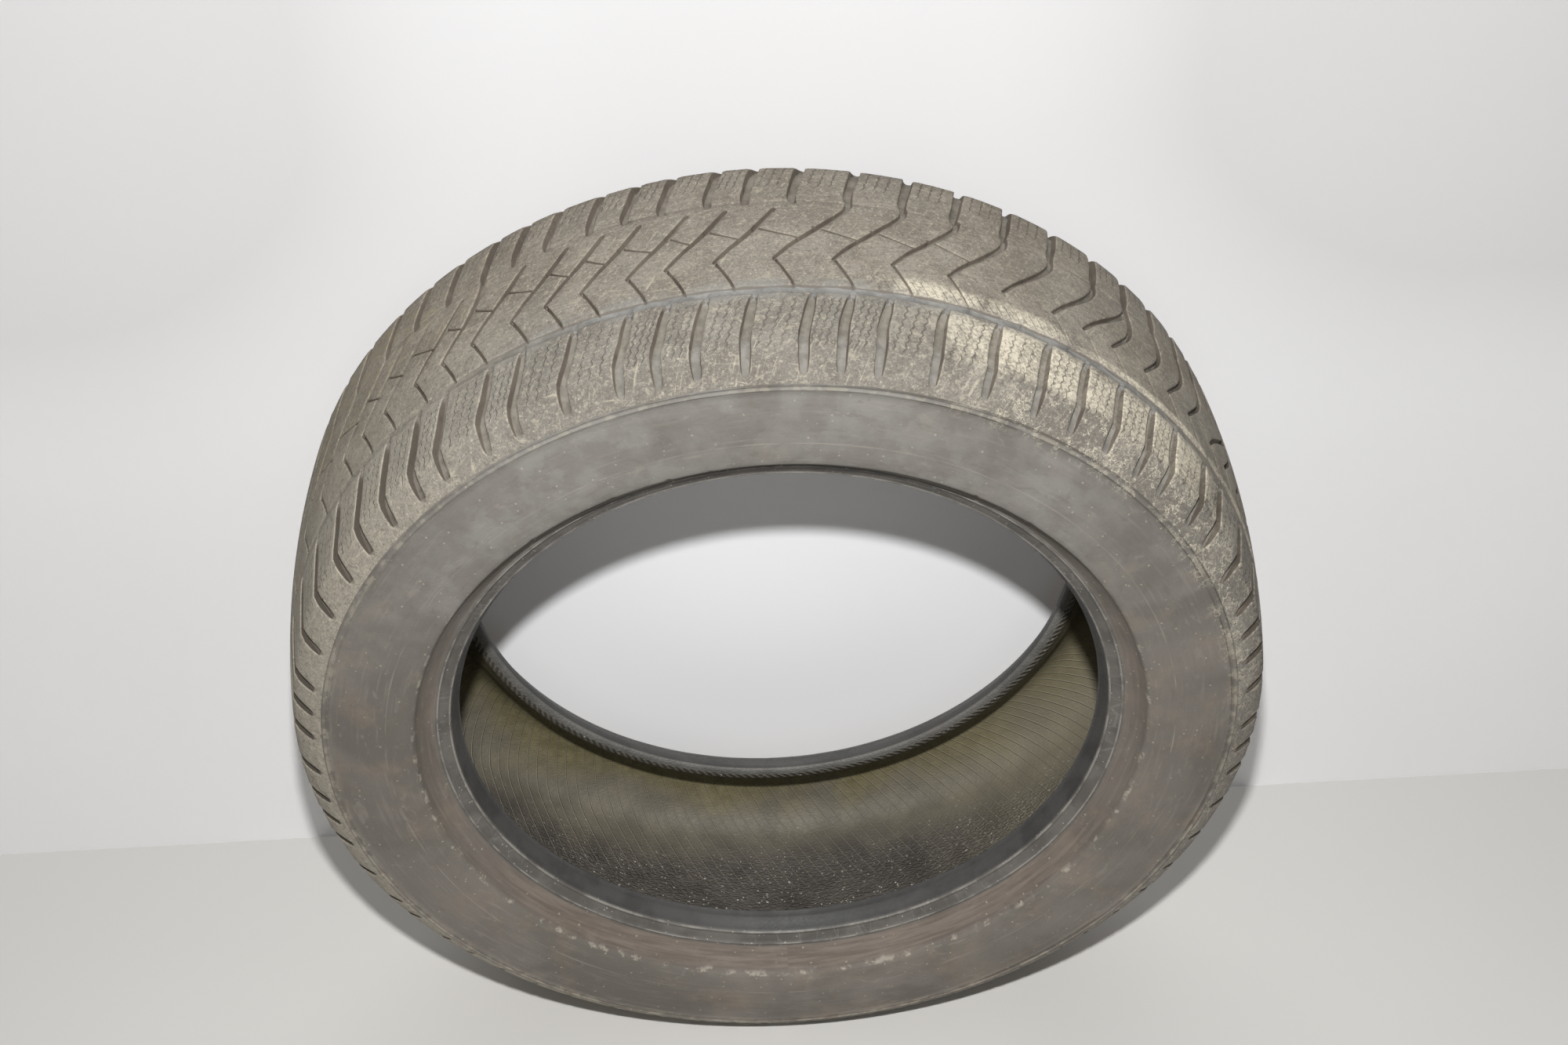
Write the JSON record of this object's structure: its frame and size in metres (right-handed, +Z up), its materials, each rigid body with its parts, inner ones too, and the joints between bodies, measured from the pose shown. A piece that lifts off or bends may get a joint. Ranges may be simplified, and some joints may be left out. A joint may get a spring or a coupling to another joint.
{
  "type": "old worn tyre",
  "caption": "Old worn winter road tyre, loose from its rim: an open ring-shaped rubber casing with a shallow blocked tread, plain sidewalls, rim guards and beads.",
  "frame": {"origin": "on the spin axis, midway between the two bead toes; the middle of the tread lies 5.1 mm towards +Y, because the loose beads have crept the other way", "axes": "+Y along the spin axis, from the side with the narrow ring groove to the other side; +Z up, away from the flat contact patch; +X to the right when the narrow ring groove's side faces the viewer"},
  "size_m": [0.62, 0.21, 0.6175],
  "materials": {
    "tyre": "dull, worn and dusty"
  },
  "bodies": {
    "root": {"tyre": "tyre"}
  },
  "joints": []
}
